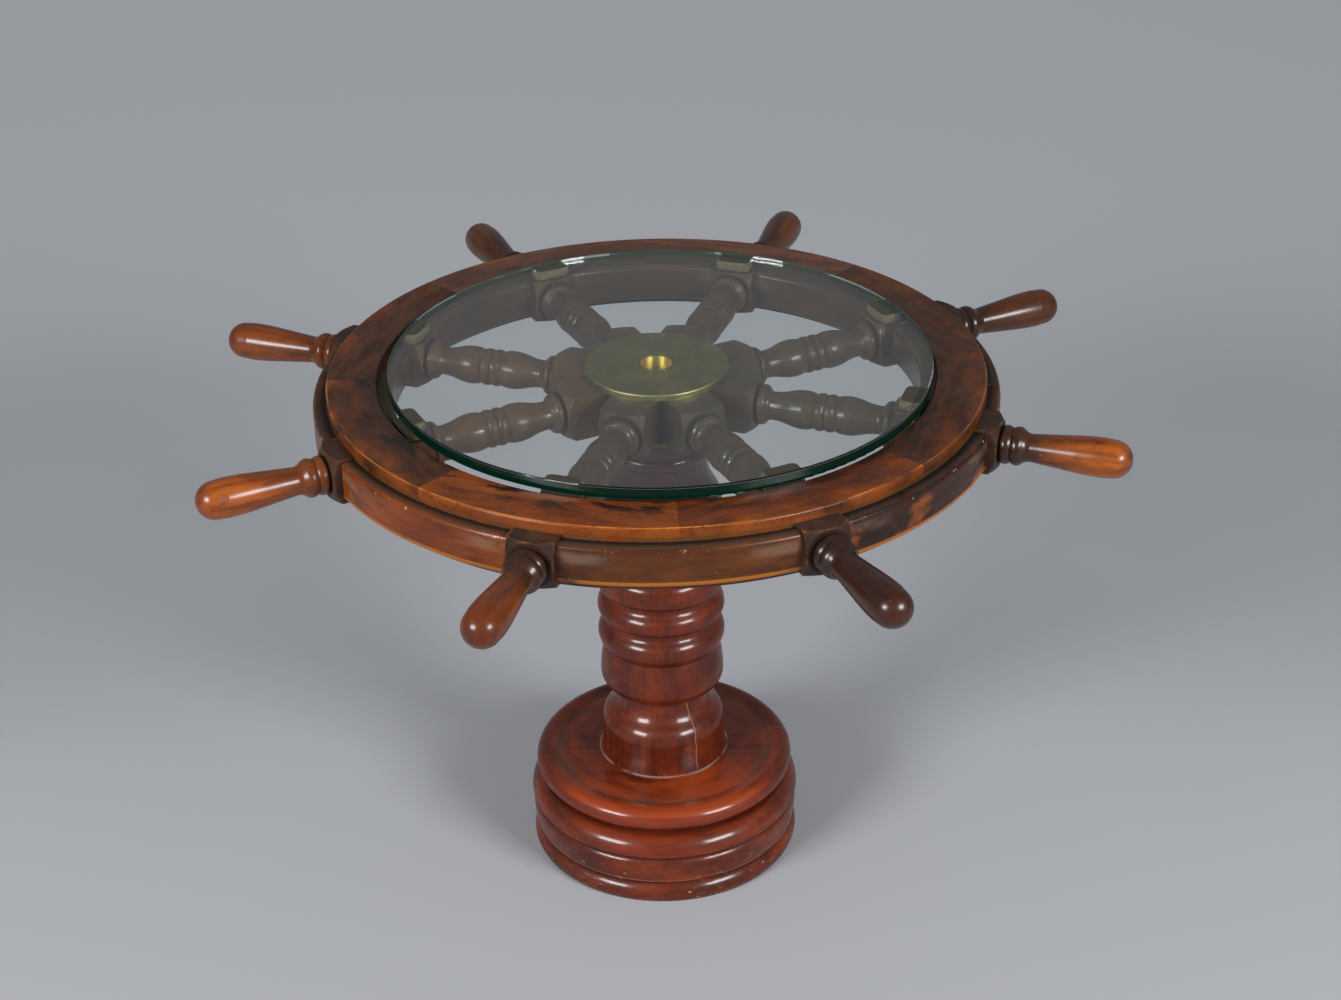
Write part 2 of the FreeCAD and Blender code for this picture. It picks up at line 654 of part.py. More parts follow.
def column_corners():
    """The turned column, from the tenon in the base to the spigot in the hub."""
    tenon = size("tenon_radius")
    spigot = size("bush_bore_radius") - size("spigot_clearance")
    corners = [(tenon_bottom, ZERO, LINE), (tenon_bottom, tenon, LINE), (base_seat, tenon, LINE)]
    level = base_seat
    corners.append((level, size("foot_radius"), REACHES_LEVEL))
    level = level + size("foot_flare_height")
    corners.append((level, size("foot_waist_radius"), LINE))
    level = level + size("foot_waist_height")
    corners.append((level, size("foot_waist_radius"), LEAVES_LEVEL))
    level = level + size("foot_shoulder_height")
    corners.append((level, size("foot_waist_radius") - size("foot_shoulder_drop"), REACHES_LEVEL))
    level = level + size("foot_cove_height")
    corners.append((level, size("neck_radius"), LINE))
    level = level + size("neck_height")
    corners.append((level, size("neck_radius"), LEAVES_LEVEL))
    level = level + size("drum_cove_height")
    corners.append((level, size("drum_edge_radius"), REACHES_LEVEL))
    level = level + size("drum_low_height")
    corners.append((level, size("drum_radius"), LEAVES_LEVEL))
    level = level + size("drum_high_height")
    rings = (
        (size("drum_top_radius"), size("low_ring_under_height"), ZERO),
        (size("ring_groove_radius"), size("ring_under_height"), ZERO),
        (size("ring_groove_radius"), size("ring_under_height"), size("crown_band_height")),
    )
    for under_radius, under_height, band_height in rings:
        corners.append((level, under_radius, REACHES_LEVEL))
        level = level + under_height
        if band_height is not ZERO:
            corners.append((level, size("ring_radius"), LINE))
            level = level + band_height
        corners.append((level, size("ring_radius"), LEAVES_LEVEL))
        level = level + size("ring_shoulder_height")
        corners.append((level, size("ring_radius") - size("ring_shoulder_drop"), REACHES_LEVEL))
        level = level + size("ring_cove_height")
    corners.append((level, size("ring_groove_radius"), LINE))
    level = level + size("vase_foot_height")
    capital = column_top - (size("capital_bead_height") + size("capital_cove_height")
                            + size("capital_plate_height") + size("capital_quirk_height"))
    crest = level + size("vase_rise")
    middle_radius = (size("vase_radius") + size("vase_top_radius")) / 2
    corners += [
        (level, size("ring_groove_radius"), LEAVES_LEVEL),
        ((level + crest) / 2, (size("ring_groove_radius") + size("vase_radius")) / 2, REACHES_LEVEL),
        (crest, size("vase_radius"), LEAVES_LEVEL),
        ((crest + capital) / 2, middle_radius, REACHES_LEVEL),
        (capital, size("vase_top_radius"), LINE),
    ]
    level = capital + size("capital_quirk_height")
    bead_top = level + size("capital_bead_height")
    plate = bead_top + size("capital_cove_height")
    corners += [
        (level, size("vase_top_radius"), REACHES_LEVEL),
        ((level + bead_top) / 2, size("capital_bead_radius"), LEAVES_LEVEL),
        (bead_top, size("vase_top_radius"), LEAVES_LEVEL),
        (plate, capital_radius - size("capital_quirk_height") / 2, LINE),
        (plate, capital_radius, LINE),
        (column_top, capital_radius, LINE),
        (column_top, spigot, LINE),
        (spigot_top, spigot, LINE),
        (spigot_top, ZERO, LINE),
    ]
    return corners


def make_column():
    body = new_body("column")
    section = new_sketch(body, "column_section", "XZ_Plane")
    draw_outline(section, column_corners(), upright=True)
    turn(body, "Revolution", section, "V_Axis")
    bolt_hole = new_sketch(body, "column_bolt_hole", "XY_Plane")
    raise_sketch(bolt_hole, tenon_bottom)
    draw_circle(bolt_hole, ZERO, ZERO, size("bolt_radius") + size("bolt_clearance"))
    extrude(body, "Pocket", bolt_hole, size("bolt_bite") + size("joint_clearance"))
    pilot = new_sketch(body, "column_pilot", "XY_Plane")
    raise_sketch(pilot, column_top)
    draw_circle(pilot, column_screw_radius * half_pitch.cosine(), column_screw_radius * half_pitch.sine(),
                screw_hole_radius)
    pilot_cut = extrude(body, "Pocket", pilot, size("screw_length"), downwards=True)
    repeat_round(body, [pilot_cut], pilot, size("column_screw_count"))
    place(body, ZERO)
    return body


def make_base():
    """The turned base: four stacked mouldings, a dished top, a mortise and a hollowed underside."""
    body = new_body("base")
    section = new_sketch(body, "base_section", "XZ_Plane")
    radius = size("base_radius")
    recess_radius = radius - size("base_foot_width")
    corners = [(size("base_underside_recess"), ZERO, LINE), (size("base_underside_recess"), recess_radius, LINE),
               (ZERO, recess_radius, LINE)]
    level = ZERO
    lower_mouldings = (
        ("bottom_bead", radius - size("bottom_bead_inset")),
        ("low_torus", radius - size("low_torus_inset")),
        ("high_torus", radius),
    )
    for moulding, crest_radius in lower_mouldings:
        groove_radius = radius - size(f"{moulding}_fall")
        corners.append((level, radius - size(f"{moulding}_edge_inset"), REACHES_LEVEL))
        level = level + size(f"{moulding}_rise")
        corners.append((level, crest_radius, LEAVES_LEVEL))
        level = level + size(f"{moulding}_round")
        corners.append((level, groove_radius, LINE))
        level = level + size(f"{moulding}_groove")
        corners.append((level, groove_radius, LINE))
    corners += [
        (level, radius - size("top_bead_edge_inset"), REACHES_LEVEL),
        (level + size("top_bead_rise"), radius - size("top_bead_inset"), LEAVES_LEVEL),
        (base_crest, radius - size("top_bead_fall"), LINE),
        (base_seat - size("base_valley_depth"), radius - size("base_valley_inset"), LINE),
        (base_seat, radius - size("base_flat_inset"), LINE),
        (base_seat, ZERO, LINE),
    ]
    draw_outline(section, corners, upright=True)
    turn(body, "Revolution", section, "V_Axis")
    cuts = (
        ("mortise", base_seat, size("tenon_radius") + size("tenon_clearance"), base_seat - mortise_bottom, True),
        ("bolt_hole", ZERO, size("bolt_radius") + size("bolt_clearance"), mortise_bottom, False),
        ("counterbore", ZERO, size("washer_radius") + size("bolt_clearance"), washer_top, False),
    )
    for name, mouth, hole_radius, depth, downwards in cuts:
        sketch = new_sketch(body, f"base_{name}", "XY_Plane")
        raise_sketch(sketch, mouth)
        draw_circle(sketch, ZERO, ZERO, hole_radius)
        extrude(body, "Pocket", sketch, depth, downwards=downwards)
    place(body, ZERO)
    return body


def make_washer():
    body = new_body("base_washer")
    section = new_sketch(body, "washer_section", "XZ_Plane")
    low = washer_top - size("washer_thickness")
    draw_rectangle(section, size("bolt_radius") + size("bolt_clearance"), low, size("washer_radius"), washer_top)
    turn(body, "Revolution", section, "V_Axis")
    place(body, ZERO)
    return body


def make_bolt():
    """A hexagon bolt from the underside of the base into the column's tenon."""
    body = new_body("base_bolt")
    head_top = washer_top - size("washer_thickness")
    hexagon = new_sketch(body, "bolt_hexagon", "XY_Plane")
    raise_sketch(hexagon, head_top)
    flat = size("bolt_head_flats") / 2
    corner = Size(flat.number / math.cos(math.radians(30)), f"({flat.formula} / cos(30 deg))")
    draw_outline(hexagon, [(corner, ZERO, LINE), (corner / 2, flat, LINE), (-corner / 2, flat, LINE),
                           (-corner, ZERO, LINE), (-corner / 2, -flat, LINE), (corner / 2, -flat, LINE)])
    extrude(body, "Pad", hexagon, size("bolt_head_height"), downwards=True)
    shank = new_sketch(body, "bolt_shank", "XY_Plane")
    raise_sketch(shank, head_top)
    draw_circle(shank, ZERO, ZERO, size("bolt_radius"))
    extrude(body, "Pad", shank, bolt_top - head_top)
    place(body, ZERO)
    return body


bodies = []
for index in spokes:
    rounding = size("facing_round")
    bodies.append(make_spoke(index))
    bodies.append(make_felloe(index))
    bodies.append(make_facing(index, "top_facing", felloe_half, facing_top, None, rounding,
                              felloe_half, size("facing_screw_bite"), recess=False))
    bodies.append(make_facing(index, "bottom_facing", facing_bottom, -felloe_half, rounding, None,
                              -felloe_half, size("bottom_facing_thickness"), recess=True))
    bodies.append(make_pad(index))
facing_screw_length = felloe_half + size("facing_screw_bite") - facing_bottom
flange_screw = (flange_screw_radius * half_pitch.cosine(), flange_screw_radius * half_pitch.sine())
column_screw = (column_screw_radius * half_pitch.cosine(), column_screw_radius * half_pitch.sine())
turned_places = [(facing_middle * (half_pitch + angle).cosine(), facing_middle * (half_pitch + angle).sine())
                 for angle in (size("facing_screw_angle"), -size("facing_screw_angle"))]
bodies += [
    make_dowels(),
    make_screws("facing_screws", turned_places, spoke_count, facing_bottom, facing_screw_length, False),
    make_screws("flange_screws", [flange_screw], spoke_count, -flange_face, size("screw_length"), False),
    make_screws("column_screws", [column_screw], size("column_screw_count"), -block_half,
                size("screw_length"), True),
    make_flange("hub_flange_top", upper=True),
    make_flange("hub_flange_bottom", upper=False),
    make_bush(),
    make_column(),
    make_base(),
    make_washer(),
    make_bolt(),
    make_glass(),
]

doc.recompute()
for item in doc.Objects:
    if "Invalid" in item.State or "Error" in item.State:
        raise RuntimeError(f"{item.Name} did not build: {item.State}")
os.makedirs("parts", exist_ok=True)
for body in bodies:
    if body.Shape.isNull() or not body.Shape.isValid():
        raise RuntimeError(f"{body.Label} has no valid shape")
    body.Shape.exportStep(f"parts/{body.Label}.step")
    print(body.Label, len(body.Shape.Solids), round(body.Shape.Volume / 1000, 1), "cm3")
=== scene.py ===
import math
import random

import bmesh
import bpy
from mathutils import Matrix, Vector


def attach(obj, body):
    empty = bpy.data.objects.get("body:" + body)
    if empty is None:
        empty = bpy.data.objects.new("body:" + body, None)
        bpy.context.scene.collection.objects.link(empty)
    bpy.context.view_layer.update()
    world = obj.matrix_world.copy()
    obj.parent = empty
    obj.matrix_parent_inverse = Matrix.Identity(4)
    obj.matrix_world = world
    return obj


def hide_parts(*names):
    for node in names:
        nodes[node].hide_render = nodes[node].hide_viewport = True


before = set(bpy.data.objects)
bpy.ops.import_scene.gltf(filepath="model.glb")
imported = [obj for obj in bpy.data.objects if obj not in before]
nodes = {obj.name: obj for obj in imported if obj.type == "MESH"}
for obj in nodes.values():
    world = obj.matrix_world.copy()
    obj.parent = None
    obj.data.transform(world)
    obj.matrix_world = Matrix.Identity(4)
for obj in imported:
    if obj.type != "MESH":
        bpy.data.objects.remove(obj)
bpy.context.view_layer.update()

# The spokes' numbers, and the degrees from one to the next
SPOKES = range(1, 9)
PITCH = 360 / len(SPOKES)

# Sizes of the table, in metres, as the solids have them
RING_TOP = 0.557
RING_FOOT = 0.5435
RING_OUTSIDE = 0.3265
RING_INSIDE = 0.276
RIM_TOP = 0.5435
RIM_FOOT = 0.5035
BLOCK_END = 0.3485
BLOCK_START = 0.2445
GRIP_START = 0.368
HANDLE_TIP = 0.475
PAD_START = 0.250
PAD_LENGTH = 0.024
PAD_WIDTH = 0.038
PAD_FOOT = 0.5465
PAD_TOP = 0.556
GLASS_MIDDLE = (0.0039, -0.00325, 0.0)
GLASS_RADIUS = 0.2695
GLASS_FOOT = 0.556
GLASS_TOP = 0.568
GLASS_ARRIS = 0.0015
BASE_SEAT = 0.107
BASE_VALLEY_RADIUS = 0.1115
BASE_GROOVE_HEIGHT = 0.026
COLUMN_FOOT_RADIUS = 0.0676
NECK_HEIGHT = 0.183
BORE_RADIUS = 0.0155


def spoke_turn(k):
    """Direction of a spoke and of the facings centred on it."""
    return math.radians(PITCH * (k - 0.5))


def felloe_turn(k):
    """Direction of the middle of a felloe."""
    return math.radians(PITCH * k)


def linear(shade):
    """An sRGB hex shade as linear red, green, blue and full alpha."""
    parts = [int(shade[i:i + 2], 16) / 255 for i in (1, 3, 5)]
    return [c / 12.92 if c <= 0.04045 else ((c + 0.055) / 1.055) ** 2.4 for c in parts] + [1.0]


def add(tree, kind, links, **settings):
    """Adds a node with its settings, and joins or sets its sockets by name or place. The places used most
    are MapRange's: 0 the value, 1 and 2 where it starts and is full, 3 and 4 what it gives at these."""
    made = tree.nodes.new("ShaderNode" + kind)
    for name, value in settings.items():
        setattr(made, name, value)
    for socket, source in links.items():
        if isinstance(source, bpy.types.NodeSocket):
            tree.links.new(source, made.inputs[socket])
        else:
            made.inputs[socket].default_value = source
    return made.outputs


def start_material(name):
    """A new material, its empty node tree and its output node."""
    material = bpy.data.materials.new(name)
    material.use_nodes = True
    material.node_tree.nodes.clear()
    return material, material.node_tree, material.node_tree.nodes.new("ShaderNodeOutputMaterial")


# How far each seed moves a pattern along the three axes
SEED_STEP = (7.31, 3.17, 5.73)


def patches(tree, place, sizes, low, high, seed):
    """A mask of irregular patches, whose sizes along the three axes are in millimetres. They are cut from
    noise between 0 and 1: a patch starts where the noise passes low and is full where it passes high."""
    stretched = add(tree, "Mapping", {
        "Vector": place,
        "Location": [seed * step for step in SEED_STEP],
        "Scale": [1000 / size for size in sizes],
    })
    uneven = add(tree, "TexNoise", {
        "Vector": stretched[0], "Scale": 1.0, "Detail": 3.0, "Roughness": 0.55,
    })
    return add(tree, "MapRange", {0: uneven[0], 1: low, 2: high}, interpolation_type="SMOOTHSTEP")[0]


def between(tree, value, low, high, soft):
    """A mask that is 1 from low to high and fades to 0 over soft on both sides."""
    off_middle = add(tree, "Math", {0: value, 1: (low + high) / 2}, operation="SUBTRACT")[0]
    distance = add(tree, "Math", {0: off_middle}, operation="ABSOLUTE")[0]
    half = (high - low) / 2
    ends = {0: distance, 1: half + soft, 2: half}
    return add(tree, "MapRange", ends, interpolation_type="SMOOTHSTEP")[0]


def meeting(tree, *masks):
    """The share where several masks meet; a plain number among them thins it."""
    share = masks[0]
    for mask in masks[1:]:
        share = add(tree, "Math", {0: share, 1: mask}, operation="MULTIPLY")[0]
    return share


def lay(tree, under, shade, *masks):
    """A shade laid over a colour where all the masks let it."""
    share = meeting(tree, *masks)
    return add(tree, "Mix", {0: share, 6: under, 7: linear(shade)}, data_type="RGBA")[2]


def matt_share(tree, *worn):
    """How matt a skin is: masks of wear and dust, each with its weight, added up to 1 at most."""
    total = 0.0
    for mask, weight in worn:
        sockets = {0: mask, 1: weight, 2: total}
        total = add(tree, "Math", sockets, operation="MULTIPLY_ADD", use_clamp=True)[0]
    return total


def grown(grain, along, across):
    """Sizes of a wood pattern on three axes, long along the grain."""
    sizes = [across] * 3
    sizes[grain] = along
    return sizes


def wood_figure(tree, place, grain, shades, seed):
    """Colour and height of planed wood: broad clouds of tone, faint streaks along the grain and open pores.
    The pores are drawn 1.3 mm wide, several times their real width, because finer ones don't show."""
    dark, middle, pale = shades
    clouds = patches(tree, place, grown(grain, 120, 45), 0.30, 0.70, seed)
    streaks = patches(tree, place, grown(grain, 150, 7), 0.40, 0.72, seed + 1)
    pores = patches(tree, place, grown(grain, 14, 1.3), 0.54, 0.74, seed + 2)
    colour = lay(tree, linear(middle), pale, clouds)
    colour = lay(tree, colour, dark, streaks, 0.55)
    colour = lay(tree, colour, dark, pores, 0.45)
    return colour, pores


# Shares of open space over a face and deep in a groove, and of wood behind a face and behind an edge,
# and how many feelers each point sends out to find them
OPEN_FACE = 0.92
DEEP_GROOVE = 0.45
BACKED_FACE = 0.88
BARE_EDGE = 0.55
FEELERS = 8


def hollows(tree, reach):
    """A mask that is 1 deep in a turned groove or inner corner and 0 on open faces."""
    opening = add(tree, "AmbientOcclusion", {"Distance": reach}, only_local=True, samples=FEELERS)
    ends = {0: opening["AO"], 1: OPEN_FACE, 2: DEEP_GROOVE}
    return add(tree, "MapRange", ends, interpolation_type="SMOOTHSTEP")[0]


def outer_edges(tree, reach):
    """A mask that is 1 along outer edges, where varnish rubs off first, and 0 on flat faces."""
    backing = add(tree, "AmbientOcclusion", {"Distance": reach},
                  inside=True, only_local=True, samples=FEELERS)
    ends = {0: backing["AO"], 1: BACKED_FACE, 2: BARE_EDGE}
    return add(tree, "MapRange", ends, interpolation_type="SMOOTHSTEP")[0]


# Roughness of varnished wood, whole and worn, and the clear skin left where it is worn
WHOLE_ROUGHNESS = 0.38
WORN_ROUGHNESS = 0.75
WORN_SKIN = 0.03


def varnish(tree, out, colour, height, dull, gloss, blur):
    """Old varnish over wood: a clear skin with a soft sheen under it, matt where it is worn or dusty."""
    roughness = add(tree, "MapRange", {0: dull, 3: WHOLE_ROUGHNESS, 4: WORN_ROUGHNESS})[0]
    skin = add(tree, "MapRange", {0: dull, 3: gloss, 4: WORN_SKIN})[0]
    dents = add(tree, "Bump", {"Strength": 0.3, "Distance": 0.0005, "Height": height}, invert=True)[0]
    shader = add(tree, "BsdfPrincipled", {
        "Base Color": colour,
        "Roughness": roughness,
        "IOR": 1.5,
        "Specular IOR Level": 0.15,
        "Coat Weight": skin,
        "Coat Roughness": blur,
        "Normal": dents,
    })
    tree.links.new(shader[0], out.inputs["Surface"])


def off_axis(tree, apart):
    """A place laid flat, and its distance from an upright axis, from its X and Y."""
    flat = add(tree, "CombineXYZ", {0: apart[0], 1: apart[1]})[0]
    return flat, add(tree, "VectorMath", {0: flat}, operation="LENGTH")["Value"]


def piece_axes(tree, turn):
    """Places on a piece of the wheel turned so that X points out from the hub, with X, Y and Z apart."""
    whole = add(tree, "TexCoord", {})["Object"]
    place = add(tree, "Mapping", {"Vector": whole, "Rotation": (0, 0, -turn)})[0]
    apart = add(tree, "SeparateXYZ", {0: place})
    return place, apart, off_axis(tree, apart)[1]


# Where a spoke's finish changes, from the hub outwards; a band is its two ends and how softly it fades
SPOKE_DUST_START = BLOCK_START + 0.004
SPOKE_DUST_FULL = BLOCK_START - 0.004
BLOCK_BAND = (BLOCK_START, BLOCK_END, 0.003)
SOOT_FULL = GRIP_START - 0.004
SOOT_START = GRIP_START + 0.030
SOOT_SPREAD = 0.045
TIP_START = HANDLE_TIP - 0.014
SPOKE_GROOVE_REACH = 0.006
WHEEL_EDGE_REACH = 0.004


def spoke_teak(k, shades, blotched, sooty, seed):
    """Teak turned on a lathe and varnished: brown with soft streaks along the spoke. Hands have polished
    the grips to orange, while the square blocks and the spokes under the glass stay dark and dusty."""
    material, tree, out = start_material(f"varnished_teak_spoke_{k}")
    place, apart, _ = piece_axes(tree, spoke_turn(k))
    colour, pores = wood_figure(tree, place, 0, shades, seed)
    blotch = patches(tree, place, (34, 16, 16), 0.46, 0.66, seed + 5)
    colour = lay(tree, colour, "#22110a", blotch, blotched)
    soot_ends = {0: apart[0], 1: SOOT_START + SOOT_SPREAD * sooty, 2: SOOT_FULL}
    neck = add(tree, "MapRange", soot_ends, interpolation_type="SMOOTHSTEP")[0]
    colour = lay(tree, colour, "#1f120c", neck, sooty)
    tip = add(tree, "MapRange", {0: apart[0], 1: TIP_START, 2: HANDLE_TIP})[0]
    colour = lay(tree, colour, "#45180a", tip, 0.5)
    inner = add(tree, "MapRange", {0: apart[0], 1: SPOKE_DUST_START, 2: SPOKE_DUST_FULL})[0]
    colour = lay(tree, colour, "#3a2a1e", inner, 0.75)
    block = between(tree, apart[0], *BLOCK_BAND)
    colour = lay(tree, colour, "#2a1a12", block, 0.85)
    faded = patches(tree, place, (40, 30, 14), 0.40, 0.70, seed + 6)
    colour = lay(tree, colour, "#4d301f", block, faded, 0.6)
    # Painted shade: darker deep in the spoke's grooves and inner corners
    groove = hollows(tree, SPOKE_GROOVE_REACH)
    colour = lay(tree, colour, "#1a0f0b", groove, 0.75)
    bared = patches(tree, place, (16, 12, 12), 0.42, 0.62, seed + 9)
    colour = lay(tree, colour, "#7a4a24", outer_edges(tree, WHEEL_EDGE_REACH), bared, block, 0.7)
    nick = patches(tree, place, (4, 2.5, 2.5), 0.72, 0.75, seed + 8)
    colour = lay(tree, colour, "#b9804c", nick, 0.6)
    scuffs = patches(tree, place, (25, 10, 10), 0.55, 0.75, seed + 7)
    dull = matt_share(tree, (block, 0.5), (inner, 0.35), (scuffs, 0.25), (groove, 0.4))
    varnish(tree, out, colour, pores, dull, gloss=0.55, blur=0.21)
    return material


# Where a felloe is dark, golden, chipped and dusty, and where it is painted with a highlight near the
# blocks and with a shadow beside the ring
RIM_DARK_START = RING_INSIDE + 0.008
RIM_DARK_FULL = RING_INSIDE + 0.002
RIM_GOLD_BAND = (RIM_FOOT - 0.002, RIM_FOOT + 0.0052, 0.0018)
RIM_GOLD_START = RING_OUTSIDE - 0.012
PAINTED_SHEEN_BESIDE_BLOCK = (0.085, 0.105, 0.035)
PAINTED_SHEEN_HEIGHTS = (RIM_FOOT + 0.026, RIM_TOP - 0.010, 0.007)
RIM_FACE_START = RING_OUTSIDE + 0.008
RIM_FACE_FULL = RING_OUTSIDE + 0.010
CHIPPED_BAND = (RIM_TOP - 0.0042, RIM_TOP - 0.0022, 0.0006)
LEDGE_BAND = (RIM_TOP - 0.0004, RIM_TOP + 0.002, 0.0007)
SHADE_BY_RING_BAND = (RING_OUTSIDE - 0.004, RING_OUTSIDE + 0.0035, 0.004)


def rim_teak(k, shades, mottled, seed):
    """Teak sawn to a curve and varnished: even brown on its face with a painted highlight, a pale sheen, near
    the blocks, rubbed to gold along the lower edge, with a few pale chips and grey dust on the ledge beside
    the ring, and a painted shadow along the ring's foot."""
    material, tree, out = start_material(f"varnished_teak_felloe_{k}")
    place, apart, radius = piece_axes(tree, felloe_turn(k))
    colour, pores = wood_figure(tree, place, 1, shades, seed)
    orange = patches(tree, place, (60, 60, 34), 0.50, 0.64, seed + 6)
    colour = lay(tree, colour, "#8a4413", orange, mottled)
    black = patches(tree, place, (40, 36, 16), 0.44, 0.66, seed + 5)
    colour = lay(tree, colour, "#1b100b", black, mottled)
    inside = add(tree, "MapRange", {0: radius, 1: RIM_DARK_START, 2: RIM_DARK_FULL})[0]
    colour = lay(tree, colour, "#2a1e17", inside, 0.75)
    low_edge = between(tree, apart[2], *RIM_GOLD_BAND)
    outer_half = add(tree, "MapRange", {0: radius, 1: RIM_GOLD_START, 2: RING_OUTSIDE})[0]
    rubbed = patches(tree, place, (40, 45, 40), 0.28, 0.44, seed + 7)
    colour = lay(tree, colour, "#9a5a14", low_edge, outer_half, rubbed, 0.9)
    # Painted highlight: a pale sheen on the upper face beside the blocks
    off_middle = add(tree, "Math", {0: apart[1]}, operation="ABSOLUTE")[0]
    near_block = between(tree, off_middle, *PAINTED_SHEEN_BESIDE_BLOCK)
    upper = between(tree, apart[2], *PAINTED_SHEEN_HEIGHTS)
    painted_sheen = patches(tree, place, (30, 30, 20), 0.25, 0.65, seed + 13)
    colour = lay(tree, colour, "#a08674", near_block, upper, painted_sheen, 0.22)
    outside = add(tree, "MapRange", {0: radius, 1: RIM_FACE_START, 2: RIM_FACE_FULL})[0]
    high_edge = between(tree, apart[2], *CHIPPED_BAND)
    chips = patches(tree, place, (9, 6, 9), 0.64, 0.68, seed + 8)
    colour = lay(tree, colour, "#b98d68", high_edge, outside, chips, 0.8)
    on_ledge = between(tree, apart[2], *LEDGE_BAND)
    dust = meeting(tree, on_ledge, patches(tree, place, (30, 22, 30), 0.20, 0.50, seed + 9))
    colour = lay(tree, colour, "#3c322a", dust, 0.65)
    # Painted shadow: a dark line on the felloe along the foot of the ring
    shade_by_ring = between(tree, radius, *SHADE_BY_RING_BAND)
    colour = lay(tree, colour, "#15100b", shade_by_ring, 0.8)
    bared = patches(tree, place, (16, 26, 16), 0.46, 0.66, seed + 12)
    colour = lay(tree, colour, "#83501f", outer_edges(tree, WHEEL_EDGE_REACH), bared, 0.45)
    scratch = patches(tree, place, (4, 2, 9), 0.71, 0.74, seed + 10)
    colour = lay(tree, colour, "#b07c4c", scratch, 0.6)
    scuffs = patches(tree, place, (35, 35, 16), 0.50, 0.72, seed + 11)
    dull = matt_share(tree, (dust, 0.9), (scuffs, 0.25))
    varnish(tree, out, colour, pores, dull, gloss=0.3, blur=0.26)
    return material


# Where a facing of the ring is rubbed, stained, golden with a partly painted highlight and dusty, and where
# painted shade darkens its inner wall
RING_RUB_START = RING_OUTSIDE - 0.030
RING_RUB_FULL = RING_OUTSIDE - 0.004
STAIN_START = RING_OUTSIDE - 0.012
STAIN_FULL = RING_INSIDE + 0.012
RING_GOLD_BAND = (RING_OUTSIDE - 0.0017, RING_OUTSIDE - 0.0010, 0.0003)
RING_GOLD_HEIGHTS = (RING_TOP - 0.0022, RING_TOP, 0.0008)
RING_SIDE_START = RING_TOP - 0.001
RING_SIDE_FULL = RING_TOP - 0.004
RING_SIDE_SHARE = 0.45
RING_DUST_BAND = (RING_FOOT, RING_FOOT + 0.003, 0.002)
INNER_WALL_START = RING_INSIDE + 0.0018
INNER_WALL_FULL = RING_INSIDE + 0.0006


def ring_teak(name, k, shades, stained, clouding, worn, seed):
    """Teak facing, planed and varnished many times: clouded brown, stained black in places near the glass
    and worn through to orange along its outer edge. A gold line along the rounded outer top edge is partly
    worn wood and partly a painted highlight, and painted shade darkens the inner wall."""
    material, tree, out = start_material(f"varnished_teak_{name}_{k}")
    place, apart, radius = piece_axes(tree, spoke_turn(k))
    colour, pores = wood_figure(tree, place, 1, shades, seed)
    outer = add(tree, "MapRange", {0: radius, 1: RING_RUB_START, 2: RING_RUB_FULL})[0]
    rubbed = patches(tree, place, (26, 60, 40), 0.40, 0.58, seed + 7)
    colour = lay(tree, colour, "#843f0b", outer, rubbed, worn)
    clouded = patches(tree, place, (24, 46, 30), 0.36, 0.70, seed + 5)
    colour = lay(tree, colour, "#1d100a", clouded, clouding)
    near_glass = add(tree, "MapRange", {0: radius, 1: STAIN_START, 2: STAIN_FULL})[0]
    stain = patches(tree, place, (14, 46, 30), 0.47, 0.58, seed + 6)
    colour = lay(tree, colour, "#150e0b", near_glass, stain, stained)
    # Gold line along the rounded outer top edge: partly worn wood, partly a painted highlight
    edge = meeting(tree, between(tree, radius, *RING_GOLD_BAND), between(tree, apart[2], *RING_GOLD_HEIGHTS))
    kept = patches(tree, place, (30, 60, 30), 0.38, 0.62, seed + 8)
    colour = lay(tree, colour, "#b8722a", edge, kept, worn)
    scratch = patches(tree, place, (1.6, 24, 6), 0.70, 0.74, seed + 11)
    colour = lay(tree, colour, "#a8692c", scratch, 0.45)
    pits = patches(tree, place, (3.5, 5, 4), 0.58, 0.70, seed + 12)
    colour = lay(tree, colour, "#120a07", pits, 0.55)
    side = add(tree, "MapRange", {0: apart[2], 1: RING_SIDE_START, 2: RING_SIDE_FULL})[0]
    colour = lay(tree, colour, "#6d3a14", side, rubbed, RING_SIDE_SHARE * worn)
    settled = patches(tree, place, (20, 26, 20), 0.25, 0.55, seed + 9)
    foot = meeting(tree, between(tree, apart[2], *RING_DUST_BAND), outer, settled)
    colour = lay(tree, colour, "#3d3524", foot, 0.6)
    # Painted shade: the ring's inner wall darkened
    shade_on_inner_wall = add(tree, "MapRange", {0: radius, 1: INNER_WALL_START, 2: INNER_WALL_FULL})[0]
    colour = lay(tree, colour, "#150e0b", shade_on_inner_wall, 0.8)
    scuffs = patches(tree, place, (30, 45, 30), 0.45, 0.70, seed + 10)
    dull = matt_share(tree, (scuffs, 0.45), (foot, 0.5))
    varnish(tree, out, colour, pores, dull, gloss=0.3, blur=0.2)
    return material


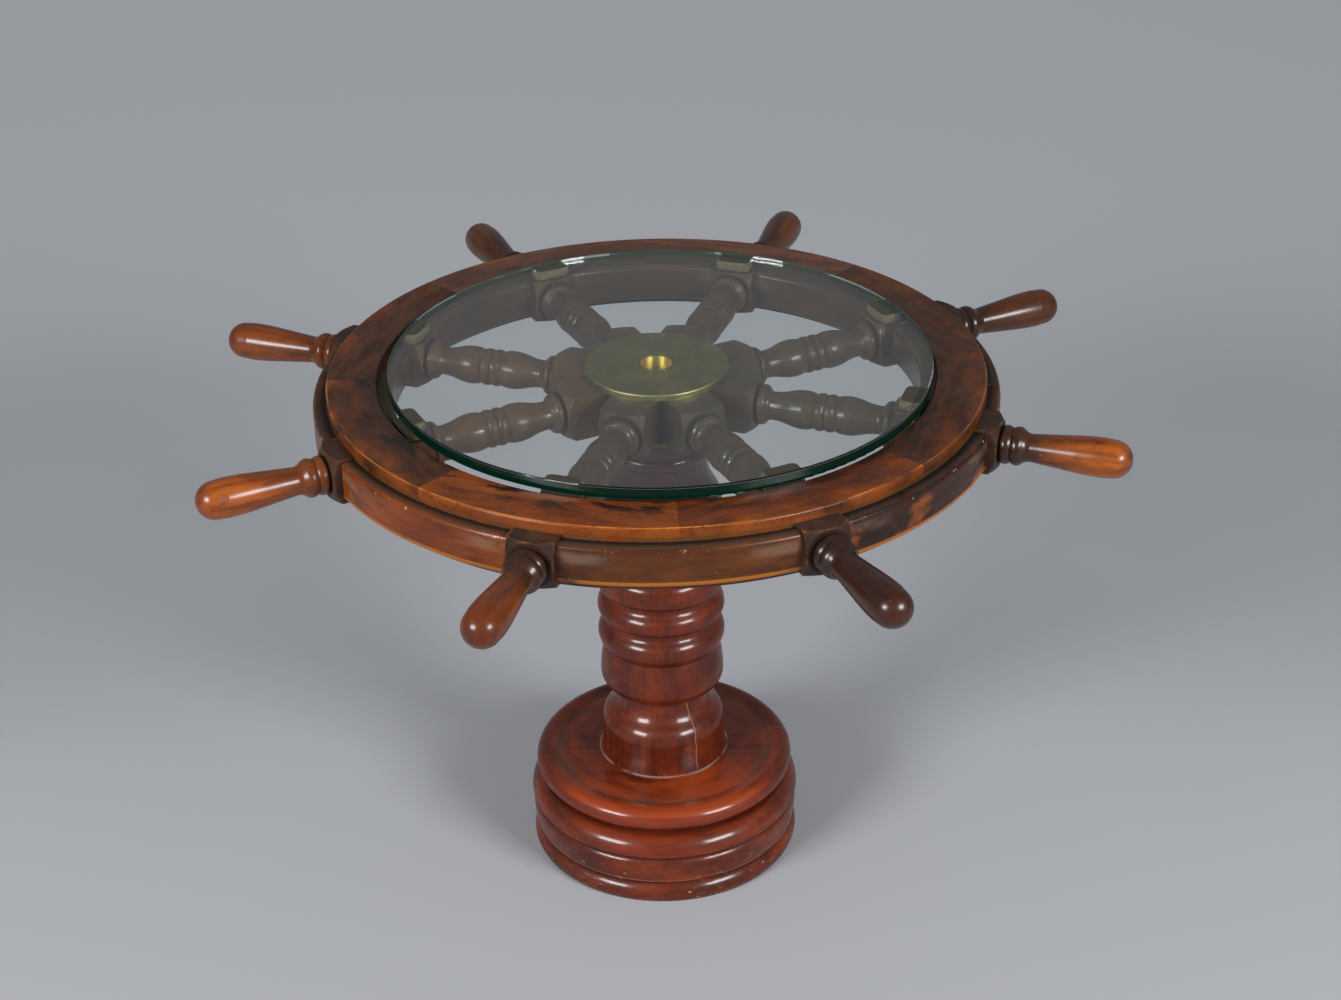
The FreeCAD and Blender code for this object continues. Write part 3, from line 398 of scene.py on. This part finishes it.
# Where the pedestal is painted lighter at its front and painted with shade at the column's top, and where
# it is dusty and kicked; at its front the compass reads -1
FRONT_START = -0.2
FRONT_FULL = -0.95
FRONT_LIGHT_START = 0.045
FRONT_LIGHT_FULL = 0.085
SEAT_START = BASE_SEAT - 0.004
SEAT_FULL = BASE_SEAT - 0.002
SHADE_START = 0.36
SHADE_FULL = 0.42
SEAT_BAND = (BASE_SEAT - 0.001, BASE_SEAT + 0.0012, 0.0006)
FOOT_BAND = (COLUMN_FOOT_RADIUS - 0.001, COLUMN_FOOT_RADIUS + 0.0008, 0.0014)
VALLEY_BAND = (BASE_VALLEY_RADIUS - 0.003, BASE_VALLEY_RADIUS + 0.003, 0.006)
GROOVE_BAND = (BASE_GROOVE_HEIGHT - 0.0005, BASE_GROOVE_HEIGHT + 0.0007, 0.0005)
KICK_START = 0.06
KICK_FULL = 0.03
PEDESTAL_GROOVE_REACH = 0.012
PEDESTAL_EDGE_REACH = 0.006
MAHOGANY = ("#2d0b04", "#4e1a09", "#62240d")

# A crack in the column's foot: its direction, how far it wanders and how often to the metre, and where it runs
CRACK_TURN = math.radians(-61)
CRACK_WANDER = 0.008
CRACK_WANDERS_TO_METRE = 45.0
CRACK_BAND = (0.0038, 0.0042, 0.0005)
CRACK_HEIGHTS = (BASE_SEAT + 0.006, NECK_HEIGHT, 0.004)
CRACK_SIDE_START = -0.5
CRACK_SIDE_FULL = -0.6


def mahogany(name, grain, clouding, front_light, seed):
    """Mahogany turned on a lathe and polished: deep red-brown with orange clouds that follow the turning,
    glossy on the swells, with painted shade that makes it almost black in the grooves. Dust lies where the
    column meets its base. Painted light makes the front of the base lighter orange, and painted shade darkens
    the column's top under the wheel."""
    material, tree, out = start_material(name)
    place = add(tree, "TexCoord", {})["Object"]
    apart = add(tree, "SeparateXYZ", {0: place})
    flat, radius = off_axis(tree, apart)
    around = add(tree, "VectorMath", {0: flat}, operation="NORMALIZE")[0]
    outward = add(tree, "Math", {0: radius, 1: apart[2]}, operation="SUBTRACT")[0]
    compass = add(tree, "SeparateXYZ", {0: around})
    turned = add(tree, "CombineXYZ", {0: compass[0], 1: compass[1], 2: outward})[0]
    colour, pores = wood_figure(tree, place, grain, MAHOGANY, seed)
    warm = patches(tree, turned, (550, 550, 20), 0.42, 0.70, seed + 4)
    colour = lay(tree, colour, "#82330f", warm, clouding)
    burnt = patches(tree, turned, (450, 450, 26), 0.44, 0.68, seed + 5)
    colour = lay(tree, colour, "#2f120c", burnt, clouding)
    # Painted light: the front of the base, where the compass reads -1, lighter orange on its upper mouldings
    # and top
    front_ends = {0: compass[1], 1: FRONT_START, 2: FRONT_FULL}
    facing = add(tree, "MapRange", front_ends, interpolation_type="SMOOTHSTEP")[0]
    raised = add(tree, "MapRange", {0: apart[2], 1: FRONT_LIGHT_START, 2: FRONT_LIGHT_FULL})[0]
    front_light_patches = patches(tree, turned, (900, 900, 22), 0.28, 0.62, seed + 10)
    colour = lay(tree, colour, "#8a3313", facing, raised, front_light_patches, front_light)
    on_top = add(tree, "MapRange", {0: apart[2], 1: SEAT_START, 2: SEAT_FULL})[0]
    colour = lay(tree, colour, "#a0421c", facing, on_top, front_light_patches, front_light)
    # Painted shade: the column's top, under the wheel, darker
    shaded = add(tree, "MapRange", {0: apart[2], 1: SHADE_START, 2: SHADE_FULL})[0]
    colour = lay(tree, colour, "#241410", shaded, 0.7)
    # Painted shade: darker deep in the grooves
    groove = hollows(tree, PEDESTAL_GROOVE_REACH)
    colour = lay(tree, colour, "#1f0805", groove, 0.5)
    at_seat = between(tree, apart[2], *SEAT_BAND)
    at_foot = between(tree, radius, *FOOT_BAND)
    broken = patches(tree, place, (25, 25, 25), 0.34, 0.56, seed + 6)
    colour = lay(tree, colour, "#9a8577", at_seat, at_foot, broken, 0.6)
    valley = between(tree, radius, *VALLEY_BAND)
    film = meeting(tree, valley, on_top, patches(tree, place, (50, 50, 50), 0.36, 0.60, seed + 9))
    colour = lay(tree, colour, "#4d362b", film, 0.7)
    bared = patches(tree, turned, (160, 160, 12), 0.50, 0.68, seed + 12)
    colour = lay(tree, colour, "#8f4a2a", outer_edges(tree, PEDESTAL_EDGE_REACH), bared, 0.5)
    in_line = add(tree, "Mapping", {"Vector": place, "Rotation": (0, 0, -CRACK_TURN)})[0]
    sideways = add(tree, "SeparateXYZ", {0: in_line})[1]
    wobble = add(tree, "TexNoise", {"Vector": place, "Scale": CRACK_WANDERS_TO_METRE, "Detail": 2.0})[0]
    beside = add(tree, "Math", {0: wobble, 1: CRACK_WANDER, 2: sideways}, operation="MULTIPLY_ADD")[0]
    crack_side = add(tree, "MapRange", {0: compass[1], 1: CRACK_SIDE_START, 2: CRACK_SIDE_FULL})[0]
    crack = between(tree, beside, *CRACK_BAND)
    crack_height = between(tree, apart[2], *CRACK_HEIGHTS)
    colour = lay(tree, colour, "#a07a60", crack, crack_height, crack_side, 0.6)
    low = add(tree, "MapRange", {0: apart[2], 1: KICK_START, 2: KICK_FULL})[0]
    kicked = patches(tree, turned, (90, 90, 2.5), 0.62, 0.72, seed + 11)
    colour = lay(tree, colour, "#9a6a52", kicked, low, facing, 0.6)
    chips = patches(tree, place, (8, 8, 3), 0.69, 0.72, seed + 7)
    colour = lay(tree, colour, "#b98a6a", chips, low, 0.85)
    groove_line = between(tree, apart[2], *GROOVE_BAND)
    colour = lay(tree, colour, "#8a6a58", groove_line, broken, 0.6)
    scuffs = patches(tree, place, (30, 30, 20), 0.50, 0.75, seed + 8)
    dull = matt_share(tree, (scuffs, 0.35), (groove, 0.4), (film, 0.8))
    varnish(tree, out, colour, pores, dull, gloss=0.5, blur=0.15)
    return material


# Roughness of brass and zinc between their smoother and duller clouds, and where the bush's bore begins
BRASS_SMOOTH = 0.36
BRASS_DULL = 0.48
ZINC_SMOOTH = 0.30
ZINC_DULL = 0.45
BORE_START = BORE_RADIUS + 0.0006
BORE_FULL = BORE_RADIUS + 0.0003


def aged_brass(name, shades, tool_marks):
    """Cast brass, turned and left to tarnish: dull olive-gold with faint brown clouds. The bore stays
    bright, and the tool marks round it draw the lamps out into upright streaks."""
    material, tree, out = start_material(name)
    bright, dim = shades
    place = add(tree, "TexCoord", {})["Object"]
    tarnish = patches(tree, place, (26, 26, 26), 0.30, 0.70, 3)
    spots = patches(tree, place, (4, 4, 4), 0.62, 0.72, 5)
    colour = lay(tree, linear(bright), dim, tarnish)
    colour = lay(tree, colour, "#4a3d24", spots, 0.35)
    radius = off_axis(tree, add(tree, "SeparateXYZ", {0: place}))[1]
    bore = add(tree, "MapRange", {0: radius, 1: BORE_START, 2: BORE_FULL})[0]
    colour = lay(tree, colour, "#e3bd57", bore)
    uneven = add(tree, "MapRange", {0: tarnish, 3: BRASS_SMOOTH, 4: BRASS_DULL})[0]
    shader = add(tree, "BsdfPrincipled", {
        "Base Color": colour,
        "Metallic": 1.0,
        "Roughness": uneven,
        "Anisotropic": tool_marks,
        "Anisotropic Rotation": 0.25,
    })
    tree.links.new(shader[0], out.inputs["Surface"])
    return material


def zinc_steel():
    """Zinc-plated steel: cool grey with a cloudy spangle."""
    material, tree, out = start_material("zinc_plated_steel")
    place = add(tree, "TexCoord", {})["Object"]
    spangle = patches(tree, place, (4, 4, 4), 0.35, 0.65, 2)
    colour = lay(tree, linear("#a9adb2"), "#878b90", spangle)
    roughness = add(tree, "MapRange", {0: spangle, 3: ZINC_SMOOTH, 4: ZINC_DULL})[0]
    shader = add(tree, "BsdfPrincipled", {"Base Color": colour, "Metallic": 1.0, "Roughness": roughness})
    tree.links.new(shader[0], out.inputs["Surface"])
    return material


def bare_beech():
    """Beech dowel, cut and left bare: pale and matt with short darker flecks."""
    material, tree, out = start_material("bare_beech")
    place = add(tree, "TexCoord", {})["Object"]
    flecks = patches(tree, place, (3, 3, 1.2), 0.55, 0.70, 4)
    colour = lay(tree, linear("#b58a5c"), "#8f6338", flecks)
    shader = add(tree, "BsdfPrincipled", {"Base Color": colour, "Roughness": 0.7})
    tree.links.new(shader[0], out.inputs["Surface"])
    return material


# Where the felt grows darker, outwards from the hub
DARKENING_START = PAD_START + 0.012
DARKENING_FULL = PAD_START + 0.016


def wool_felt():
    """Pressed wool felt: matt brown with matted fibres, drawn 1.2 mm wide so that they show, and darker
    towards the end that the glass leaves bare."""
    material, tree, out = start_material("wool_felt")
    place = add(tree, "TexCoord", {})["Object"]
    fibres = patches(tree, place, (6, 1.2, 1.2), 0.35, 0.65, 6)
    colour = lay(tree, linear("#5f4d3a"), "#493b2c", fibres)
    radius = off_axis(tree, add(tree, "SeparateXYZ", {0: place}))[1]
    darker_end = add(tree, "MapRange", {0: radius, 1: DARKENING_START, 2: DARKENING_FULL})[0]
    colour = lay(tree, colour, "#241d17", darker_end, 0.85)
    nap = add(tree, "Bump", {"Strength": 0.6, "Distance": 0.0006, "Height": fibres})[0]
    shader = add(tree, "BsdfPrincipled", {
        "Base Color": colour,
        "Roughness": 0.95,
        "Specular IOR Level": 0.1,
        "Sheen Weight": 0.03,
        "Normal": nap,
    })
    tree.links.new(shader[0], out.inputs["Surface"])
    return material


# The glass disc's edge between its arrises, and how clear it is there
GLASS_WALL_BAND = (GLASS_RADIUS - GLASS_ARRIS, GLASS_RADIUS + GLASS_ARRIS, 0.0003)
GLASS_WALL_HEIGHTS = (GLASS_FOOT - GLASS_ARRIS, GLASS_TOP - GLASS_ARRIS, 0.0004)
EDGE_CLEARNESS = 0.45


def float_glass():
    """Clear float glass with a ground edge: hardly tinted through its faces, deep green along its edge,
    because light that leaves there has crossed much of the disc. Lamps shine through it."""
    material, tree, out = start_material("clear_float_glass")
    whole = add(tree, "TexCoord", {})["Object"]
    place = add(tree, "VectorMath", {0: whole, 1: GLASS_MIDDLE}, operation="SUBTRACT")[0]
    apart = add(tree, "SeparateXYZ", {0: place})
    radius = off_axis(tree, apart)[1]
    at_rim = between(tree, radius, *GLASS_WALL_BAND)
    wall = meeting(tree, at_rim, between(tree, apart[2], *GLASS_WALL_HEIGHTS))
    colour = lay(tree, linear("#ffffff"), "#012c21", wall)
    clearness = add(tree, "MapRange", {0: wall, 3: 1.0, 4: EDGE_CLEARNESS})[0]
    shader = add(tree, "BsdfPrincipled", {
        "Base Color": colour,
        "Roughness": 0.0,
        "IOR": 1.52,
        "Transmission Weight": clearness,
    })
    lamp_through = add(tree, "BsdfTransparent", {"Color": linear("#e9f2ee")})
    lamp_ray = add(tree, "LightPath", {})["Is Shadow Ray"]
    mixed = add(tree, "MixShader", {0: lamp_ray, 1: shader[0], 2: lamp_through[0]})
    tree.links.new(mixed[0], out.inputs["Surface"])
    depth = add(tree, "VolumeAbsorption", {"Color": linear("#94e3cb"), "Density": 6.0})
    tree.links.new(depth[0], out.inputs["Volume"])
    return material


# Where the paper floor grows paler behind the table and darker under the lamps, along Y
PALE_START = 0.4
PALE_FULL = 3.2
UNDER_LAMPS_START = -0.6
UNDER_LAMPS_FULL = -2.6


def graded_paper():
    """Graded studio paper: grey and matt, paler behind the table, where little lamplight reaches it, and
    darker under the lamps, where it would burn out to white."""
    material, tree, out = start_material("studio_paper")
    apart = add(tree, "SeparateXYZ", {0: add(tree, "TexCoord", {})["Object"]})
    behind = add(tree, "MapRange", {0: apart[1], 1: PALE_START, 2: PALE_FULL})[0]
    colour = lay(tree, linear("#a6a8ac"), "#dcdee2", behind)
    under_lamps = add(tree, "MapRange", {0: apart[1], 1: UNDER_LAMPS_START, 2: UNDER_LAMPS_FULL})[0]
    colour = lay(tree, colour, "#828488", under_lamps)
    shader = add(tree, "BsdfPrincipled", {"Base Color": colour, "Roughness": 0.95})
    tree.links.new(shader[0], out.inputs["Surface"])
    return material


def dress(node, material):
    """Gives a piece of the table its material."""
    nodes[node].data.materials.clear()
    nodes[node].data.materials.append(material)


# Dark, middle and pale shades of the wheel's teak, from worn to hardly touched, and dusty
WORN = ("#401706", "#76350a", "#9a4e12")
RUBBED = ("#301207", "#60290a", "#7c3b0d")
BROWN = ("#241108", "#45220c", "#572e0f")
DARK = ("#150a06", "#28130a", "#3c1c0b")
DUSTY = ("#372015", "#583726", "#6b4632")

# Spokes 1 to 8: their shades, how blotched they are and how sooty the handle's neck is
SPOKE_LOOKS = (
    (BROWN, 0.3, 0.7),
    (BROWN, 0.5, 0.5),
    (BROWN, 0.5, 0.5),
    (RUBBED, 0.35, 0.3),
    (WORN, 0.35, 0.5),
    (RUBBED, 0.4, 0.85),
    (DARK, 0.4, 0.6),
    (WORN, 0.7, 0.9),
)
# Felloes 1 to 8: their shades and how mottled they are
FELLOE_LOOKS = (
    (BROWN, 0.3),
    (BROWN, 0.3),
    (BROWN, 0.3),
    (BROWN, 0.3),
    (RUBBED, 0.1),
    (BROWN, 0.1),
    (DARK, 0.75),
    (BROWN, 0.4),
)
# Top facings 1 to 8: their shades, and how stained, clouded and worn they are; all bottom facings look alike
TOP_LOOKS = (
    (BROWN, 0.3, 0.6, 0.25),
    (DUSTY, 0.2, 0.4, 0.3),
    (DUSTY, 0.2, 0.4, 0.3),
    (BROWN, 0.4, 0.6, 0.4),
    (BROWN, 0.9, 0.6, 0.7),
    (WORN, 0.95, 0.35, 0.95),
    (RUBBED, 0.7, 0.6, 0.95),
    (BROWN, 0.6, 0.6, 0.4),
)
BOTTOM_LOOK = (BROWN, 0.3, 0.6, 0.2)

# Seeds that keep the figure of one piece of wood from repeating on the next
SPOKE_SEED = 20
FELLOE_SEED = 40
TOP_SEED = 60
BOTTOM_SEED = 80

for k in SPOKES:
    dress(f"spoke_{k}", spoke_teak(k, *SPOKE_LOOKS[k - 1], SPOKE_SEED + k))
    dress(f"felloe_{k}", rim_teak(k, *FELLOE_LOOKS[k - 1], FELLOE_SEED + k))
    dress(f"top_facing_{k}", ring_teak("top_facing", k, *TOP_LOOKS[k - 1], TOP_SEED + k))
    dress(f"bottom_facing_{k}", ring_teak("bottom_facing", k, *BOTTOM_LOOK, BOTTOM_SEED + k))

# Bright and dim shades of the brass that shows and of the brass below
OLIVE_GOLD = ("#978856", "#7b6f48")
BROWN_GOLD = ("#54492c", "#3f3823")

dress("hub_flange_top", aged_brass("aged_brass", OLIVE_GOLD, tool_marks=0.0))
dress("hub_bush", aged_brass("turned_brass", OLIVE_GOLD, tool_marks=0.9))
dull_brass = aged_brass("dull_brass", BROWN_GOLD, tool_marks=0.0)
for name in ("hub_flange_bottom", "facing_screws", "flange_screws", "column_screws"):
    dress(name, dull_brass)
dress("column", mahogany("polished_mahogany_column", grain=2, clouding=0.35, front_light=0.0, seed=3))
dress("base", mahogany("polished_mahogany_base", grain=0, clouding=0.6, front_light=0.5, seed=11))
steel = zinc_steel()
dress("base_washer", steel)
dress("base_bolt", steel)
dress("felloe_dowels", bare_beech())
dress("glass_top", float_glass())

# A felt pad's levels, each with its share of the height and how far it draws in, and its ragged outline
PAD_LEVELS = ((0.0, 0.0010), (0.12, 0.0003), (0.45, 0.0), (0.8, 0.0003), (0.94, 0.0008), (1.0, 0.0018))
PAD_STEPS = 48
PAD_SQUARENESS = 6
PAD_RAGGED = 0.0003
PAD_SEED = 100


def make_pad(k, felt):
    """A felt pad under the glass: a cut block with rounded corners, pressed flat on top and bulging at its
    sides."""
    rng = random.Random(PAD_SEED + k)
    mesh = bpy.data.meshes.new(f"felt_pad_{k}")
    shape = bmesh.new()
    middle = PAD_START + PAD_LENGTH / 2
    height = PAD_TOP - PAD_FOOT
    rings = []
    for rise, inset in PAD_LEVELS:
        ring = []
        for step in range(PAD_STEPS):
            angle = 2 * math.pi * step / PAD_STEPS
            c, s = math.cos(angle), math.sin(angle)
            corner = (abs(c) ** PAD_SQUARENESS + abs(s) ** PAD_SQUARENESS) ** (-1 / PAD_SQUARENESS)
            wave = rng.uniform(0.0, PAD_RAGGED)
            outward = (PAD_LENGTH / 2 - inset - wave) * corner * c
            sideways = (PAD_WIDTH / 2 - inset - wave) * corner * s
            ring.append(shape.verts.new((middle + outward, sideways, PAD_FOOT + rise * height)))
        rings.append(ring)
    for low, high in zip(rings, rings[1:]):
        for step in range(PAD_STEPS):
            following = (step + 1) % PAD_STEPS
            shape.faces.new((low[step], low[following], high[following], high[step]))
    shape.faces.new(reversed(rings[0]))
    shape.faces.new(rings[-1])
    bmesh.ops.rotate(shape, verts=shape.verts, matrix=Matrix.Rotation(spoke_turn(k), 3, "Z"))
    shape.to_mesh(mesh)
    shape.free()
    mesh.polygons.foreach_set("use_smooth", [len(p.vertices) == 4 for p in mesh.polygons])
    mesh.materials.append(felt)
    pad = bpy.data.objects.new(f"felt_pad_{k}", mesh)
    bpy.context.scene.collection.objects.link(pad)
    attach(pad, "table")
    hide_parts(f"glass_pad_{k}")


felt = wool_felt()
for k in SPOKES:
    make_pad(k, felt)

# The floor lies half a millimetre under the base, because two faces in one plane flicker
FLOOR_LEVEL = -0.0005
FLOOR_REACH = 14.0

corner_signs = ((-1, -1), (1, -1), (1, 1), (-1, 1))
floor_corners = [(x * FLOOR_REACH, y * FLOOR_REACH, FLOOR_LEVEL) for x, y in corner_signs]
floor_mesh = bpy.data.meshes.new("floor")
floor_mesh.from_pydata(floor_corners, [], [(0, 1, 2, 3)])
floor_mesh.materials.append(graded_paper())
floor = bpy.data.objects.new("floor", floor_mesh)
bpy.context.scene.collection.objects.link(floor)

# Two softboxes, alike, turned by so many degrees to either side of where the camera stands
CAMERA_SIDE = -3.1
SOFTBOX_TURN = 46
SOFTBOX_LIFT = math.radians(24)
SOFTBOX_DISTANCE = 4.2
SOFTBOX_WIDTH = 1.6
SOFTBOX_HEIGHT = 1.1
SOFTBOX_WATTS = 156
SOFTBOX_TARGET = Vector((0, 0, 0.42))


def add_softbox(name, turn):
    """A broad soft lamp that looks at the middle of the table, turned from the camera's side."""
    turn = math.radians(CAMERA_SIDE + turn)
    flat = math.cos(SOFTBOX_LIFT)
    back = Vector((math.sin(turn) * flat, -math.cos(turn) * flat, math.sin(SOFTBOX_LIFT)))
    data = bpy.data.lights.new(name, "AREA")
    data.shape = "RECTANGLE"
    data.size = SOFTBOX_WIDTH
    data.size_y = SOFTBOX_HEIGHT
    data.energy = SOFTBOX_WATTS
    lamp = bpy.data.objects.new(name, data)
    lamp.location = SOFTBOX_TARGET + back * SOFTBOX_DISTANCE
    lamp.rotation_mode = "QUATERNION"
    lamp.rotation_quaternion = (-back).to_track_quat("-Z", "Y")
    bpy.context.scene.collection.objects.link(lamp)


add_softbox("softbox_left", -SOFTBOX_TURN)
add_softbox("softbox_right", SOFTBOX_TURN)

# Even grey light from all round
WORLD_STRENGTH = 0.49

world = bpy.data.worlds.new("studio")
world.use_nodes = True
world.node_tree.nodes["Background"].inputs["Color"].default_value = linear("#b4b7bd")
world.node_tree.nodes["Background"].inputs["Strength"].default_value = WORLD_STRENGTH
bpy.context.scene.world = world

# Camera at the photograph's place, for an image of 1341 by 1000; lens and sensor in millimetres
CAMERA_PLACE = (-0.1176, -2.1873, 1.6157)
CAMERA_HEADING = math.radians(3.387)
CAMERA_PITCH = math.radians(28.929)
CAMERA_ROLL = math.radians(-1.0)
CAMERA_LENS = 65.72
CAMERA_SENSOR = 36.0

level_share = math.cos(CAMERA_PITCH)
forward = Vector((
    math.sin(CAMERA_HEADING) * level_share,
    math.cos(CAMERA_HEADING) * level_share,
    -math.sin(CAMERA_PITCH),
))
right = forward.cross(Vector((0, 0, 1))).normalized()
up = right.cross(forward)
rolled_right = math.cos(CAMERA_ROLL) * right + math.sin(CAMERA_ROLL) * up
rolled_up = math.cos(CAMERA_ROLL) * up - math.sin(CAMERA_ROLL) * right
camera_axes = Matrix((rolled_right, rolled_up, -forward)).transposed().to_4x4()
camera_data = bpy.data.cameras.new("camera")
camera_data.sensor_width = CAMERA_SENSOR
camera_data.lens = CAMERA_LENS
camera = bpy.data.objects.new("camera", camera_data)
camera.matrix_world = Matrix.Translation(CAMERA_PLACE) @ camera_axes
bpy.context.scene.collection.objects.link(camera)
bpy.context.scene.camera = camera
bpy.context.scene.view_settings.view_transform = "Standard"
